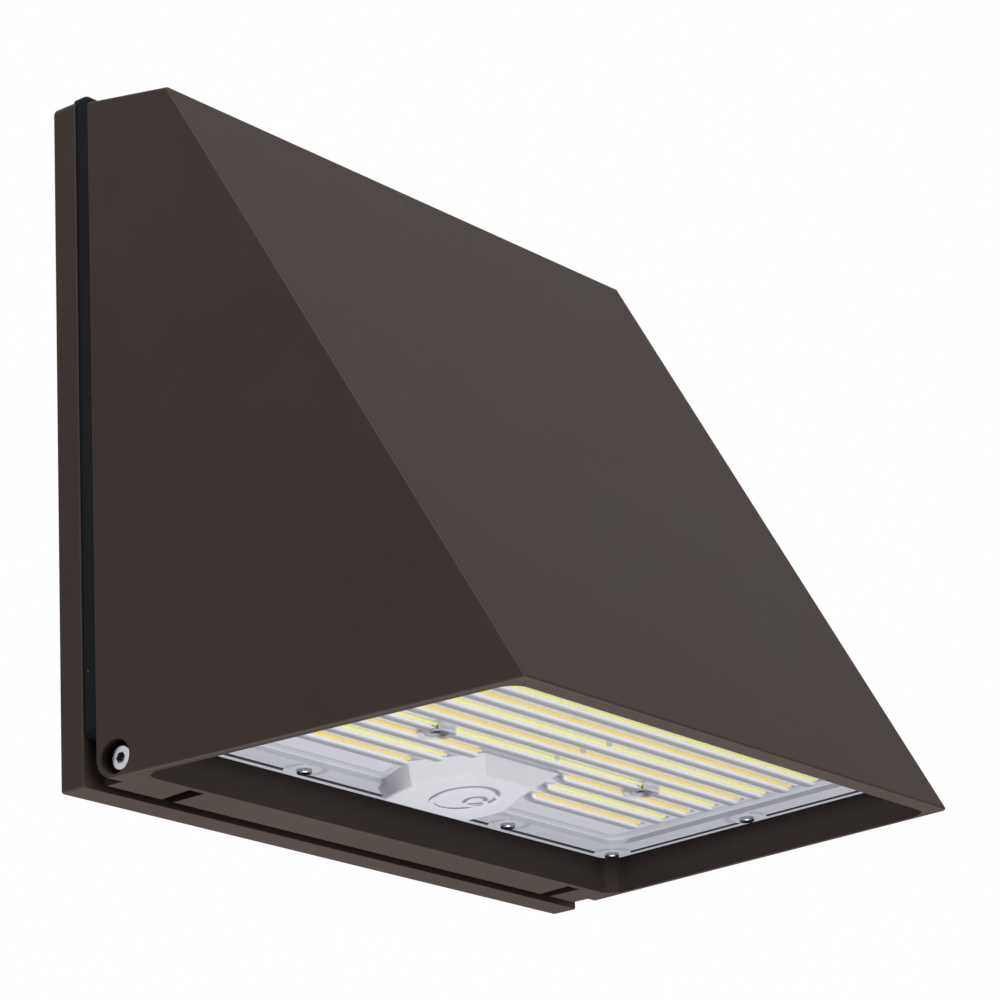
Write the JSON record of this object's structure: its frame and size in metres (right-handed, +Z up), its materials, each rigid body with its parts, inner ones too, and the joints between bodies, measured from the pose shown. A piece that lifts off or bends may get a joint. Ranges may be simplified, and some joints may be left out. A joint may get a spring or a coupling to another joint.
{
  "type": "wall pack light",
  "caption": "Wedge-shaped outdoor wall light with a downward ribbed lens, LED board, light sensor and a housing hinged on its wall plate.",
  "frame": {"origin": "centre of the four wall-bolt holes, on the wall face of the back plate", "axes": "+X to the right seen from the front, +Y into the wall, +Z up"},
  "size_m": [0.363, 0.253, 0.3414],
  "materials": {
    "housing_paint": "satin dark bronze powder coat",
    "plate_paint": "satin dark bronze powder coat",
    "seal_rubber": "soft matte silicone",
    "foam": "matte foam",
    "bright_steel": "bright, slightly brushed",
    "chrome_screw": "polished",
    "lens_plastic": "clear polycarbonate",
    "frosted": "frosted milky polycarbonate",
    "white_board": "white solder mask",
    "led_cool": "greenish-yellow phosphor",
    "led_warm": "orange-yellow phosphor",
    "white_plastic": "matte white",
    "black_plastic": "matte black",
    "driver_metal": "satin",
    "sensor_lens": "glossy dark",
    "nylon": "natural nylon",
    "brass": "machined",
    "green_metal": "green passivated",
    "lead_red": "matte insulation",
    "lead_black": "matte insulation",
    "lead_white": "matte insulation",
    "lead_green": "matte insulation",
    "lead_grey": "matte insulation"
  },
  "bodies": {
    "wall_plate": {"back_plate": "plate_paint", "wall_gasket": "foam", "wire_entry_bushing": "black_plastic", "plate_earth_screw": "green_metal", "housing_gasket": "seal_rubber", "hinge_screws": "bright_steel", "hinge_washers": "nylon"},
    "housing": {"front_housing": "housing_paint", "lens": "lens_plastic", "lens_gasket": "seal_rubber", "lens_rim_screws": "chrome_screw", "lens_field_screws": "chrome_screw", "sensor_window": "frosted", "sensor_module": "white_plastic", "sensor_lens": "sensor_lens", "sensor_base_screws": "bright_steel", "led_board": "white_board", "leds_cool": "led_cool", "leds_warm": "led_warm", "board_screws": "bright_steel", "board_connectors": "white_plastic", "driver_case": "driver_metal", "driver_screws": "bright_steel", "power_selector_frame": "black_plastic", "colour_selector_frame": "black_plastic", "terminal_block": "white_plastic", "terminal_clamp_screws": "brass", "terminal_fixing_screw": "bright_steel", "led_lead_positive": "lead_red", "led_lead_negative": "lead_black", "lead_grommet": "black_plastic", "sensor_lead": "lead_grey", "line_lead": "lead_black", "neutral_lead": "lead_white", "earth_lead": "lead_green", "housing_earth_screw": "green_metal", "closing_screw": "bright_steel", "closing_screw_seal": "seal_rubber", "closing_nut": "bright_steel"},
    "power_selector_knob": {"power_selector_knob": "white_plastic"},
    "colour_selector_knob": {"colour_selector_knob": "white_plastic"}
  },
  "joints": [
    {"name": "housing_hinge", "type": "hinge", "parent": "wall_plate", "child": "housing", "pos_m": [0, -0.032, -0.1585], "axis": [1, 0, 0], "range_deg": [0, 90]},
    {"name": "power_selector_slide", "type": "slide", "parent": "housing", "child": "power_selector_knob", "axis": [1, 0, 0], "range_m": [-0.003, 0.003]},
    {"name": "colour_selector_slide", "type": "slide", "parent": "housing", "child": "colour_selector_knob", "axis": [1, 0, 0], "range_m": [-0.003, 0.003]}
  ]
}
